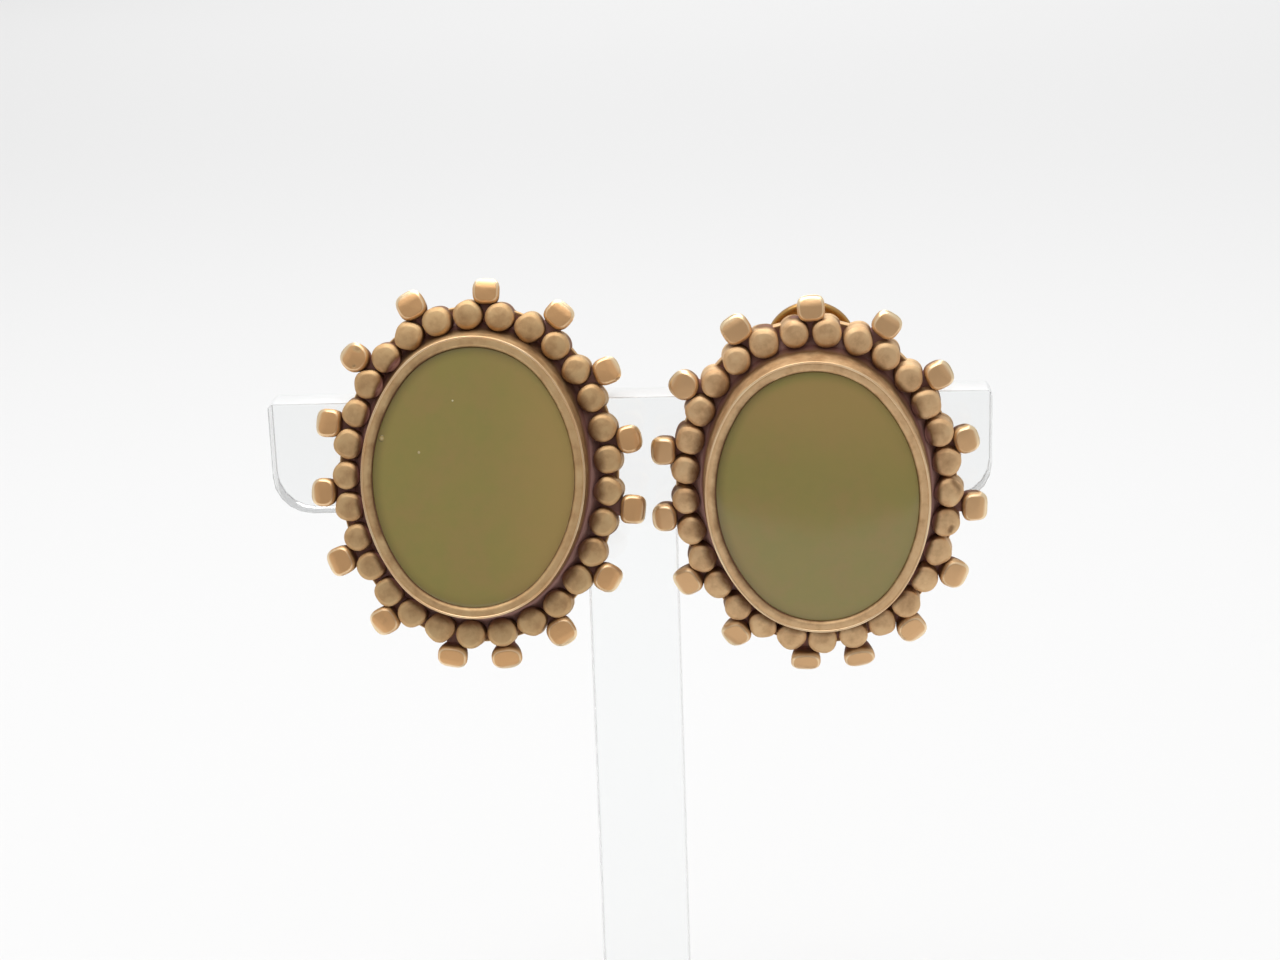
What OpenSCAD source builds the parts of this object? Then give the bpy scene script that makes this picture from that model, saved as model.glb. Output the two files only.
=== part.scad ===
// A pair of oval cabochon clip earrings on a clear T-bar display stand, in mm.
// +Z is up, and the earrings face -Y. The origin is the middle of the foot's underside.
// Each earring has a plate, an oval collar round a flat green stone, a ring of small round pegs
// and a ring of larger squarish pegs, and a round clip pad that turns on a pin behind it.

/* [Stand] */

// Height of the stand to the top of its crossbar
stand_height = 84; // [70:1:110]
// Length of the crossbar
bar_length = 69; // [66:0.5:80]
// Height of the crossbar
bar_height = 11; // [9.5:0.1:11]
// Thickness of the acrylic crossbar and post
sheet = 3.5; // [3:0.1:3.5]
// Radius of the crossbar's lower corners and of the foot's corners
bar_corner = 3.7; // [1:0.1:5]
// Width of the post
post_width = 8.7; // [6:0.1:12]
// Width and depth of the foot
foot_width = 52; // [40:1:66]
foot_depth = 44; // [36:1:60]
// Thickness of the foot
foot_thickness = 3.5; // [3:0.5:6]

/* [How the earrings hang] */

// Sideways place of each earring on the crossbar
left_x = -14.2; // [-16:0.1:-14]
right_x = 17.8; // [17:0.1:19]
// Height of the crossbar's top over the middle of each plate, along the plate
left_hang = 7.0; // [6.6:0.1:7.2]
right_hang = 8.7; // [8:0.1:9]
// How far each earring leans back over the bar's top edge (degrees)
left_lean = 12; // [11:0.1:12]
right_lean = 0; // [0:0.1:0]
// How far each earring is turned in its own plane, clockwise from the front (degrees)
left_turn = 0.9; // [-2:0.1:3]
right_turn = -4.4; // [-5:0.1:2]

/* [Plate and stone collar] */

// Half width and half height of the collar's rim
rim_half_width = 10.5; // [10.3:0.05:10.8]
rim_half_height = 13.2; // [12.8:0.05:13.6]
// Radius of the oval's two ends
end_radius = 9.1; // [8.8:0.05:9.4]
// Thickness of the plate behind the stone
plate_thickness = 1.1; // [0.8:0.05:1.4]
// Height of the rim over the plate's back
rim_height = 5.9; // [5.4:0.1:6.4]
// Width of the rim round the stone
rim_width = 1.05; // [0.8:0.05:1.2]
// How much wider the collar is at its foot than at its rim
collar_flare = 0.4; // [0.1:0.05:0.5]
// How far the stone's edge lies under the rim
stone_recess = 0.35; // [0.2:0.05:0.6]
// Rise of the stone's top from its edge to its middle
stone_dome = 0.3; // [0.1:0.05:0.5]

/* [Pegs] */

// Number of small pegs in the inner ring
inner_pegs = 29; // [29:1:29]
// Where the first small peg lies, in pitches from the top
inner_start = 0.76; // [0.5:0.01:1]
// Distance of the inner ring from the rim
inner_gap = 1.92; // [1.85:0.01:2]
// Radius of a small peg at its foot and at its face
inner_foot_radius = 1.45; // [1.3:0.01:1.46]
inner_face_radius = 1.22; // [1.15:0.01:1.3]
// Height of the small pegs' faces over the plate's back
inner_height = 3.0; // [2.6:0.05:3.4]
// Height of the large pegs' faces over the plate's back
outer_height = 2.6; // [2.4:0.05:3]
// Length of a large peg from its foot to its face
outer_length = 2.1; // [1.9:0.05:2.2]
// Radius of the rounded edge of a small and of a large peg
inner_edge = 0.32; // [0.2:0.01:0.4]
outer_edge = 0.5; // [0.3:0.01:0.6]
// Width of the neck that carries a large peg, at the inner ring and under the peg, and its height
neck_width = 2.5; // [1.6:0.1:2.7]
neck_end_width = 2.1; // [1.4:0.1:2.3]
neck_height = 1.5; // [1.2:0.05:1.8]

/* [Clip] */

// Sideways place of the clip on the plate
clip_offset = 0.7; // [0:0.1:1]
// How far the clip's pin lies below the middle of the plate
left_pin_drop = 5.6; // [5.5:0.05:5.8]
right_pin_drop = 5.1; // [4.9:0.05:5.4]
// Distance of the pin behind the plate's back
pin_depth = 6.65; // [6.65:0.05:6.9]
// Radius of the pin
pin_radius = 0.5; // [0.4:0.05:0.55]
// Radius of the knuckle and of the lugs round the pin
knuckle_radius = 1.0; // [0.95:0.05:1.05]
// Width of the knuckle and thickness of each lug
knuckle_width = 3; // [2.5:0.1:3.5]
lug_thickness = 0.8; // [0.6:0.1:1]
// Radius of the round pad
pad_radius = 4.3; // [3.8:0.1:4.6]
// Distance from the pin to the middle of the pad
pad_reach = 18.1; // [17:0.1:18.5]
// Width of the arm where it meets the pad
arm_width = 4.4; // [3:0.1:6]
// Thickness of the pad and its arm
pad_thickness = 0.9; // [0.7:0.05:0.9]
// How far each closed clip leans towards its plate (degrees)
left_clip_lean = 12; // [11.5:0.1:12]
right_clip_lean = 10.8; // [10:0.1:10.9]

/* [Hidden] */

$fn = 64;
joint_gap = 0.1;
stone_gap = 0.06;
pin_clearance = 0.04;

// The oval is four arcs: two ends of end_radius and two long sides of side_radius.
end_shift = rim_half_height - end_radius;
side_radius = (pow(rim_half_width, 2) + pow(end_shift, 2) - pow(end_radius, 2))
    / (2 * (rim_half_width - end_radius));
side_shift = side_radius - rim_half_width;
end_angle = atan2(side_shift, end_shift);
side_angle = 90 - end_angle;

// Lengths along the inner ring of half an end arc and half a side arc.
end_run = (end_radius + inner_gap) * end_angle * PI / 180;
side_run = (side_radius + inner_gap) * side_angle * PI / 180;
ring_run = 4 * (end_run + side_run);

bar_front = -sheet / 2;
neck_foot = 0.2;
arm_neck = 2.4;

// One row for each large peg, clockwise from the top: its place in pitches from the top of the
// inner ring, how far its face lies out from that ring, its size along and across the ring,
// its own turn and how far its face splays outward, in degrees. The lowest two splay most.
outer_place = 0;
outer_out = 1;
outer_along = 2;
outer_across = 3;
outer_turn = 4;
outer_splay = 5;
outer_pegs = [
    [0.28, 2.31, 2.60, 2.50, 3, 8],
    [2.29, 2.54, 2.70, 2.55, -4, 8],
    [4.25, 2.50, 2.65, 2.60, -8, 8],
    [6.25, 2.32, 2.65, 2.45, 4, 8],
    [8.21, 2.63, 2.75, 2.45, 5, 8],
    [10.25, 2.53, 2.75, 2.70, -1, 15],
    [12.19, 2.48, 2.80, 2.80, -5, 15],
    [13.79, 2.75, 3.00, 2.70, -4, 50],
    [15.21, 2.54, 2.95, 2.65, 4, 42],
    [17.24, 2.40, 2.70, 2.70, -18, 15],
    [19.29, 2.53, 2.80, 2.75, 2, 15],
    [21.28, 2.37, 2.75, 2.45, -7, 8],
    [23.24, 2.37, 2.75, 2.45, 11, 8],
    [25.22, 2.53, 2.80, 2.80, -12, 8],
    [27.26, 2.45, 2.75, 2.70, 0, 8],
];

// Direction of the oval's outward normal, clockwise from the top, after a run along the inner
// ring. The first half is worked out, and the second mirrors it.
function quarter_normal(run) = run < end_run
    ? run / (end_radius + inner_gap) * 180 / PI
    : end_angle + (run - end_run) / (side_radius + inner_gap) * 180 / PI;
function half_normal(run) = run <= ring_run / 4
    ? quarter_normal(run)
    : 180 - quarter_normal(ring_run / 2 - run);
function normal_at(run) = run <= ring_run / 2
    ? half_normal(run)
    : 360 - half_normal(ring_run - run);

// Place of the point that lies out from the rim by gap, where the normal has this direction.
function is_end(normal) = abs(sin(normal)) < sin(end_angle);
function oval_x(normal, gap) = is_end(normal)
    ? (end_radius + gap) * sin(normal)
    : (side_radius + gap) * sin(normal) - sign(sin(normal)) * side_shift;
function oval_y(normal, gap) = is_end(normal)
    ? (end_radius + gap) * cos(normal) + sign(cos(normal)) * end_shift
    : (side_radius + gap) * cos(normal);

// A quarter circle of points for a rounded edge.
function rounded(x, y, r, steps) =
    [for (i = [0:steps]) [x + r * cos(i * 90 / steps), y + r * sin(i * 90 / steps)]];

// Sweeps a profile round the oval: its x is the distance out from the rim, its y the height.
module round_the_oval() {
    for (half = [0, 1]) rotate(180 * half) {
        translate([0, end_shift, 0]) rotate(90 - end_angle)
            rotate_extrude(angle = 2 * end_angle) translate([end_radius, 0]) children();
        translate([-side_shift, 0, 0]) rotate(-side_angle)
            rotate_extrude(angle = 2 * side_angle) translate([side_radius, 0]) children();
    }
}

module at_station(place, gap) {
    n = normal_at(place / inner_pegs * ring_run);
    translate([oval_x(n, gap), oval_y(n, gap), 0]) rotate(-n) children();
}

module peg(foot_radius, face_radius, foot, face, edge) {
    rotate_extrude() polygon(concat(
        [[0, foot], [foot_radius, foot]],
        rounded(face_radius - edge, face - edge, edge, 3),
        [[0, face]]));
}

// A large peg is a round peg with four flats. Its foot is slimmer the more it splays.
module large_peg(row) {
    along = row[outer_along];
    across = row[outer_across];
    foot_radius = 0.56 * along * (1 - row[outer_splay] / 90);
    rotate(row[outer_turn]) intersection() {
        peg(foot_radius, 0.57 * along, 0, outer_length, outer_edge);
        translate([-along / 2, -across / 2, -1]) cube([along, across, outer_length + 2]);
    }
}

// Tilts a large peg outward about the middle of its face, which sinks a little as it tilts.
module splayed(row) {
    sink = 0.15 * outer_height * sin(row[outer_splay]);
    translate([0, row[outer_out], outer_height - sink]) rotate([-row[outer_splay], 0, 0])
        translate([0, 0, -outer_length]) children();
}

// The neck ends under the middle of its peg, and short of it where the peg splays.
module neck(row) {
    reach = row[outer_out] - 1.5 * sin(row[outer_splay]);
    linear_extrude(neck_height - neck_foot) polygon([
        [-neck_width / 2, 0], [neck_width / 2, 0],
        [neck_end_width / 2, reach], [-neck_end_width / 2, reach],
    ]);
}

module base_plate() {
    round_the_oval() translate([-7, 0]) square([7 + inner_gap + 0.9, plate_thickness]);
    translate([-6, -9, 0]) cube([12, 18, plate_thickness]);
}

module stone_collar() {
    low = plate_thickness - 0.3;
    round_the_oval() polygon([
        [-rim_width, low],
        [collar_flare, low],
        [0, rim_height - 0.3],
        [-0.22, rim_height],
        [-rim_width + 0.1, rim_height - 0.12],
        [-rim_width, rim_height - 0.25],
    ]);
}

module lugs(drop) {
    reach = knuckle_width / 2 + joint_gap;
    for (side = [-1, 1])
        translate([clip_offset + side * (reach + lug_thickness / 2), -drop, 0])
            difference() {
                union() {
                    translate([-lug_thickness / 2, -knuckle_radius * 0.9, -pin_depth])
                        cube([lug_thickness, knuckle_radius * 1.8, pin_depth + 0.5]);
                    translate([0, 0, -pin_depth]) rotate([0, 90, 0])
                        cylinder(r = knuckle_radius, h = lug_thickness, center = true);
                }
                translate([0, 0, -pin_depth]) rotate([0, 90, 0])
                    cylinder(r = pin_radius + pin_clearance, h = lug_thickness + 1, center = true);
            }
}

module setting(drop) {
    color("#a88a5c") {
        base_plate();
        stone_collar();
        for (i = [0:inner_pegs - 1])
            at_station(inner_start + i, inner_gap)
                peg(inner_foot_radius, inner_face_radius, 0.5, inner_height, inner_edge);
        for (row = outer_pegs) at_station(row[outer_place], inner_gap) {
            splayed(row) large_peg(row);
            translate([0, 0, neck_foot]) neck(row);
        }
        lugs(drop);
    }
}

// The stone's flat foot stands just off the plate, and its top is part of a large sphere.
module stone() {
    gap = -rim_width - stone_gap;
    foot = plate_thickness + stone_gap;
    edge = rim_height - stone_recess;
    half = rim_half_height - rim_width;
    dome_radius = (half * half + stone_dome * stone_dome) / (2 * stone_dome);
    color("#7f7440") intersection() {
        union() {
            round_the_oval() translate([-8.5, foot]) square([8.5 + gap, edge + stone_dome - foot]);
            translate([-4, -7, foot]) cube([8, 14, edge + stone_dome - foot]);
        }
        translate([0, 0, edge + stone_dome - dome_radius]) sphere(r = dome_radius, $fn = 200);
    }
}

module clip_pin(drop) {
    length = knuckle_width + 2 * (joint_gap + lug_thickness) + 0.2;
    color("#8c7048") translate([clip_offset, -drop, -pin_depth]) rotate([0, 90, 0])
        cylinder(r = pin_radius, h = length, center = true);
}

// The arm is as wide as its knuckle between the lugs, and widens towards the pad.
module arm_outline() {
    polygon([
        [-knuckle_width / 2, 0], [knuckle_width / 2, 0],
        [knuckle_width / 2, arm_neck], [arm_width / 2, pad_reach - pad_radius / 2],
        [-arm_width / 2, pad_reach - pad_radius / 2], [-knuckle_width / 2, arm_neck],
    ]);
}

// The pad, its arm and its knuckle, closed and leaning towards the plate.
module clip_pad(drop, lean) {
    inner_face = 0.25;
    low = inner_face - pad_thickness;
    color("#9c7a48") translate([clip_offset, -drop, -pin_depth]) rotate([lean, 0, 0])
        difference() {
            union() {
                rotate([0, 90, 0]) cylinder(r = knuckle_radius, h = knuckle_width, center = true);
                translate([0, 0, low]) linear_extrude(pad_thickness) arm_outline();
                translate([0, pad_reach, low]) rotate_extrude() polygon(concat(
                    [[0, 0], [pad_radius - 0.2, 0], [pad_radius, 0.2]],
                    rounded(pad_radius - 0.25, pad_thickness - 0.25, 0.25, 3),
                    [[0, pad_thickness]]));
            }
            rotate([0, 90, 0])
                cylinder(r = pin_radius + pin_clearance, h = knuckle_width + 1, center = true);
        }
}

// Puts an earring, drawn lying on its back, against the crossbar. Its plate's back touches the
// bar's top front edge at hang above the plate's middle, and joint_gap keeps the two apart.
module hung(x, hang, lean, turn) {
    translate([x, bar_front - joint_gap - hang * sin(lean), stand_height - hang * cos(lean)])
        rotate([-lean, 0, 0]) rotate([0, turn, 0]) rotate([90, 0, 0]) children();
}

module on_left() hung(left_x, left_hang, left_lean, left_turn) children();
module on_right() hung(right_x, right_hang, right_lean, right_turn) children();

// What a rounded corner takes off a square one, whose tip is at the origin, towards -X and -Y.
module corner_cut(r) {
    difference() {
        translate([-1, -1]) square([r + 1, r + 1]);
        translate([r, r]) circle(r = r);
    }
}

module crossbar_outline() {
    half = bar_length / 2;
    difference() {
        translate([-half, -bar_height]) square([bar_length, bar_height]);
        for (side = [0, 1]) mirror([side, 0]) translate([-half, -bar_height])
            corner_cut(bar_corner);
    }
}

module foot_outline() {
    difference() {
        square([foot_width, foot_depth], center = true);
        for (side = [0, 1], end = [0, 1]) mirror([side, 0]) mirror([0, end])
            translate([-foot_width / 2, -foot_depth / 2]) corner_cut(bar_corner);
    }
}

module display_stand() {
    color("#dfe6e8", 0.4) {
        translate([0, sheet / 2, stand_height]) rotate([90, 0, 0])
            linear_extrude(sheet) crossbar_outline();
        translate([-post_width / 2, -sheet / 2, foot_thickness - 0.5])
            cube([post_width, sheet, stand_height - foot_thickness - bar_height / 2]);
        linear_extrude(foot_thickness) foot_outline();
    }
}

module left_setting() on_left() setting(left_pin_drop);
module left_stone() on_left() stone();
module left_clip_pin() on_left() clip_pin(left_pin_drop);
module left_clip_pad() on_left() clip_pad(left_pin_drop, left_clip_lean);

module right_setting() on_right() setting(right_pin_drop);
module right_stone() on_right() stone();
module right_clip_pin() on_right() clip_pin(right_pin_drop);
module right_clip_pad() on_right() clip_pad(right_pin_drop, right_clip_lean);

display_stand();
left_setting();
left_stone();
left_clip_pin();
left_clip_pad();
right_setting();
right_stone();
right_clip_pin();
right_clip_pad();
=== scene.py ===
# A pair of oval cabochon clip earrings on a clear T-bar stand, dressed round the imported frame.
import math

import bpy
import numpy as np
from mathutils import Matrix, Vector


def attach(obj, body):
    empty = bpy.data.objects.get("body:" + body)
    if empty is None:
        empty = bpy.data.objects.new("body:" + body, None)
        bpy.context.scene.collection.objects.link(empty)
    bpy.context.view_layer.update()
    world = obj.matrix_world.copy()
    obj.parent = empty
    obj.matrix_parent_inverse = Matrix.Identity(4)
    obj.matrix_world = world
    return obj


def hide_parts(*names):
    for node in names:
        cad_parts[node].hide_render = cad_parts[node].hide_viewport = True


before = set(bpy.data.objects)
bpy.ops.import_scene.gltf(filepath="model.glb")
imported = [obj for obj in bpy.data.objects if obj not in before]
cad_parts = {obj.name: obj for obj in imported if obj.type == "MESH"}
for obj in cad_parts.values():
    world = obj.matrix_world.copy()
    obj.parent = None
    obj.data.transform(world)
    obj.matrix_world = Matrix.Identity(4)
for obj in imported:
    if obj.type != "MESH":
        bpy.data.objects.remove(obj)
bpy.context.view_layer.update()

mm = 0.001
print("frame loaded:", len(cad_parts), "nodes")


# Geometry helpers. All sizes in the dictionaries are in mm and all angles in degrees.

# How each earring hangs: the collar's middle lies hang below the bar's top edge, measured along
# the plate, and the plate leans back over that edge and turns clockwise. The clip's pin lies
# pinDrop below that middle, and its paddle leans in by clipLean.
hanging = {
    "left": {"x": -14.2, "hang": 7.0, "lean": 12, "turn": 0.9, "pinDrop": 5.6, "clipLean": 12},
    "right": {"x": 17.8, "hang": 8.7, "lean": 0, "turn": -4.4, "pinDrop": 5.1, "clipLean": 10.8},
}

# The stand: a T cut from one acrylic sheet, its post cemented on a rounded foot. Its front edges
# have lost sideCut of their polish, or all within satinTop of the top, its sides sideShare of that.
stand = {
    "height": 84, "barLength": 69, "barHeight": 11, "sheet": 3.5, "barCorner": 3.7,
    "topCorner": 0.6, "innerCorner": 0.5, "postCorner": 0.4, "cornerSteps": 6,
    "postWidth": 8.7, "footWidth": 52, "footDepth": 44, "footThickness": 3.5,
    "edgeRadius": 0.06, "edgeSteps": 5, "flatRing": 0.06, "glueLine": 0.02,
    "sideCut": 0.3, "sideShare": 0.8, "satinTop": 0.35,
}

# The oval that everything in an earring follows: two end arcs and two flatter side arcs. The
# pegs stand on a parallel of it, ringGap further out.
oval = {"halfWidth": 10.5, "halfHeight": 13.2, "endRadius": 9.1, "pegs": 29, "ringGap": 1.92}
endShift = oval["halfHeight"] - oval["endRadius"]
sideRadius = ((oval["halfWidth"] ** 2 + endShift ** 2 - oval["endRadius"] ** 2)
              / (2 * (oval["halfWidth"] - oval["endRadius"])))
sideShift = sideRadius - oval["halfWidth"]
endAngle = math.atan2(sideShift, endShift)
endRing, sideRing = oval["endRadius"] + oval["ringGap"], sideRadius + oval["ringGap"]
endRun = endRing * endAngle
ringRun = 4 * (endRun + sideRing * (math.pi / 2 - endAngle))


# 3 x 3 turn about x or y: [cos, -sin; sin, cos] in the plane of the other two axes.
def turned(axis, degrees):
    c, s = math.cos(math.radians(degrees)), math.sin(math.radians(degrees))
    i, j = {"x": (1, 2), "y": (2, 0)}[axis]
    m = np.eye(3)
    m[i, i], m[i, j], m[j, i], m[j, j] = c, -s, s, c
    return m


# World = T + Rx(-lean) Ry(turn) Rx(90) p, in metres, with T at the middle of the plate's back.
def hung(points, side):
    h = hanging[side]
    lean = math.radians(h["lean"])
    place = (h["x"], -stand["sheet"] / 2 - clip["gap"] - h["hang"] * math.sin(lean),
             stand["height"] - h["hang"] * math.cos(lean))
    m = turned("x", -h["lean"]) @ turned("y", h["turn"]) @ turned("x", 90)
    return (points @ m.T + place) * mm


# Direction of the outward normal, clockwise from the top, at a place in pegs' pitches:
# run / radius on an end arc, then endAngle + rest / radius on a side arc, mirrored twice.
def ovalNormal(place):
    run = (place / oval["pegs"] * ringRun) % ringRun
    half = np.where(run > ringRun / 2, ringRun - run, run)
    quarter = np.where(half > ringRun / 4, ringRun / 2 - half, half)
    angle = np.where(quarter < endRun, quarter / endRing,
                     endAngle + (quarter - endRun) / sideRing)
    angle = np.where(half > ringRun / 4, math.pi - angle, angle)
    return np.where(run > ringRun / 2, 2 * math.pi - angle, angle)


# Point of the oval's parallel: arc centre + (arc radius + gap) (sin n, cos n).
def ovalPoint(normal, gap):
    s, c = np.sin(normal), np.cos(normal)
    isEnd = np.abs(s) < math.sin(endAngle)
    r = np.where(isEnd, oval["endRadius"], sideRadius) + gap
    return (r * s - np.where(isEnd, 0, np.sign(s) * sideShift),
            r * c + np.where(isEnd, np.sign(c) * endShift, 0))


# 3 t^2 - 2 t^3 of t = (value - low) / (high - low), held to 0..1.
def smooth(low, high, value):
    t = np.clip((value - low) / (high - low), 0, 1)
    return t * t * (3 - 2 * t)


# Sum of a_k cos(k angle + p_k) over the harmonics, scaled to about -1..1.
def waves(angle, seed, harmonics, shape=()):
    rng = np.random.default_rng(seed)
    total = np.zeros(shape + np.shape(angle))
    for k in harmonics:
        size = rng.uniform(0.3, 1, shape + (1,) * np.ndim(angle))
        phase = rng.uniform(0, 2 * math.pi, shape + (1,) * np.ndim(angle))
        total = total + size * np.cos(k * angle + phase)
    return total / len(harmonics)


# Points (x, y) + radius (cos a, sin a), a from start to end in degrees.
def arc(x, y, radius, start, end, steps):
    a = np.radians(np.linspace(start, end, steps))
    return np.stack([x + radius * np.cos(a), y + radius * np.sin(a)], -1)


# r = (|sin / a|^n + |cos / b|^n)^(-1/n): a rounded rectangle for n above 3, an ellipse at 2.
def superellipse(spokes, a, b, power):
    return (np.abs(np.sin(spokes) / a) ** power + np.abs(np.cos(spokes) / b) ** power) ** (-1 / power)


# Angles 2 pi k / count of the spokes of a ring.
def circle(count):
    return np.linspace(0, 2 * math.pi, count, endpoint=False)


# Points (x, y, z) from three arrays that broadcast together.
def pointsOf(x, y, z):
    return np.stack(np.broadcast_arrays(x, y, z), -1)


# Ring of revolution about x: profile (x, radius) turned through (0, cos a, sin a).
def tube(profile, spokes, centre):
    a, x, r = circle(spokes), profile[:, :1], profile[:, 1:]
    return pointsOf(centre[0] + x, centre[1] + r * np.cos(a), centre[2] + r * np.sin(a))


# Closed shells from grid[shell, ring, spoke, xyz], or one from grid[ring, spoke, xyz]: quads
# (r, s) (r, s+1) (r+1, s+1) (r+1, s), and at both ends a fan to the ring's middle (pole), one
# flat face (flat), or ring n to 0 (loop).
def shell(grid, wearAndShading, ends="pole"):
    grid = grid.reshape(-1, *grid.shape[-3:])
    count, rings, spokes = grid.shape[:3]
    wearAndShading = np.broadcast_to(wearAndShading, grid.shape[:3])
    r, s = np.meshgrid(np.arange(rings if ends == "loop" else rings - 1), np.arange(spokes),
                       indexing="ij")
    across, on = (s + 1) % spokes, (r + 1) % rings
    quads = np.stack([r * spokes + s, r * spokes + across, on * spokes + across,
                      on * spokes + s], -1).reshape(-1, 4)
    points = grid.reshape(count, -1, 3)
    values = wearAndShading.reshape(count, -1)
    s = np.arange(spokes)
    last = (rings - 1) * spokes
    extra = []
    if ends == "pole":
        points = np.concatenate([points, grid[:, :1].mean(2), grid[:, -1:].mean(2)], 1)
        values = np.concatenate([values, wearAndShading[:, :1].mean(2), wearAndShading[:, -1:].mean(2)], 1)
        foot = rings * spokes
        extra = [np.stack([np.full(spokes, foot), (s + 1) % spokes, s], -1),
                 np.stack([np.full(spokes, foot + 1), last + s, last + (s + 1) % spokes], -1)]
    if ends == "flat":
        extra = [s[::-1][None], (last + s)[None]]
    blocks, volume = [quads] + extra, 0
    for block in blocks:
        fan = points[0][block]
        for k in range(1, block.shape[1] - 1):
            volume += np.einsum("ij,ij->", fan[:, 0], np.cross(fan[:, k], fan[:, k + 1]))
    step = points.shape[1] * np.arange(count)[:, None, None]
    faces = [(block + step).reshape(-1, block.shape[1]) for block in blocks]
    if volume < 0:  # inside out
        faces = [block[:, ::-1] for block in faces]
    return points.reshape(-1, 3), values.reshape(-1), faces


# A new object of the scene from its data.
def addObject(name, data):
    made = bpy.data.objects.new(name, data)
    bpy.context.scene.collection.objects.link(made)
    return made


# One object from several shells: their points end to end, each shell's faces shifted on.
def piece(name, shells, material, body, replaced=()):
    shift = np.cumsum([0] + [len(s[0]) for s in shells[:-1]])
    points = np.concatenate([s[0] for s in shells])
    faces = [row for s, first in zip(shells, shift) for block in s[2]
             for row in (block + first).tolist()]
    mesh = bpy.data.meshes.new(name)
    mesh.from_pydata(points, [], faces)
    wearAndShading = mesh.attributes.new("wearAndShading", "FLOAT", "POINT")
    wearAndShading.data.foreach_set("value", np.concatenate([s[1] for s in shells]).astype(np.float32))
    mesh.polygons.foreach_set("use_smooth", [True] * len(mesh.polygons))
    mesh.materials.append(material)
    mesh.update()
    made = addObject(name, mesh)
    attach(made, body)
    if replaced:
        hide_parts(*replaced)


# Materials

# sRGB hex to linear: c / 12.92 up to 0.04045, else ((c + 0.055) / 1.055) ^ 2.4.
def rgb(code):
    c = np.array([int(code[i:i + 2], 16) / 255 for i in (1, 3, 5)])
    c = np.where(c <= 0.04045, c / 12.92, ((c + 0.055) / 1.055) ** 2.4)
    return (*c.tolist(), 1.0)


# Adds a node, sets its properties, and links or sets its inputs. An input is named by its name,
# with _ for a space, or by _ and its number. From a node it takes the first output in use.
def node(tree, kind, settings=None, **links):
    made = tree.nodes.new("ShaderNode" + kind)
    for key, value in (settings or {}).items():
        setattr(made, key, value)
    for key, value in links.items():
        socket = made.inputs[int(key[1:]) if key[1:].isdigit() else key.replace("_", " ")]
        if isinstance(value, bpy.types.Node):
            value = next(output for output in value.outputs if output.enabled)
        if isinstance(value, bpy.types.NodeSocket):
            tree.links.new(value, socket)
        else:
            socket.default_value = value
    return made


inColour = {"data_type": "RGBA"}  # for a mix of colours


# An empty node material, its tree, and the object's own coordinates in it.
def newMaterial(name):
    made = bpy.data.materials.new(name)
    made.use_nodes = True
    made.node_tree.nodes.clear()
    return made, made.node_tree, node(made.node_tree, "TexCoord").outputs["Object"]


# The gilt metal. The wear-and-shading attribute says how far its finish is rubbed, and on the
# collar and the pegs it also carries painted light and painted shade: 0 is pinkish tarnish in
# the deepest hollows, plumAt plum wash, brownAt brown metal, satinAt satin tan, faceFull the gold
# of a large peg's face, and from edgeAt up to 1 the edge is rubbed pale.
gilding = {
    "tan": "#d0a97b", "pale": "#dcbe90", "gold": "#deb07e", "rubbed": "#fde8c2",
    "patina": "#d0a59b", "wash": "#845850", "brown": "#8e6c4c",
    "plumAt": 0.12, "plumTo": 0.15, "brownAt": 0.4, "satinAt": 0.78,
    "faceFrom": 0.81, "faceFull": 0.86, "edgeAt": 0.88,
    "roughness": 0.6, "edgeRoughness": 0.3, "patinaRoughness": 0.7, "patinaMetal": 0.1,
    "grain": 0.12, "cloud": 1.6, "cloudSpread": 0.5,
    "grainHeight": 0.02, "grainShare": 0.4, "cloudShare": 3.0,
}


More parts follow.
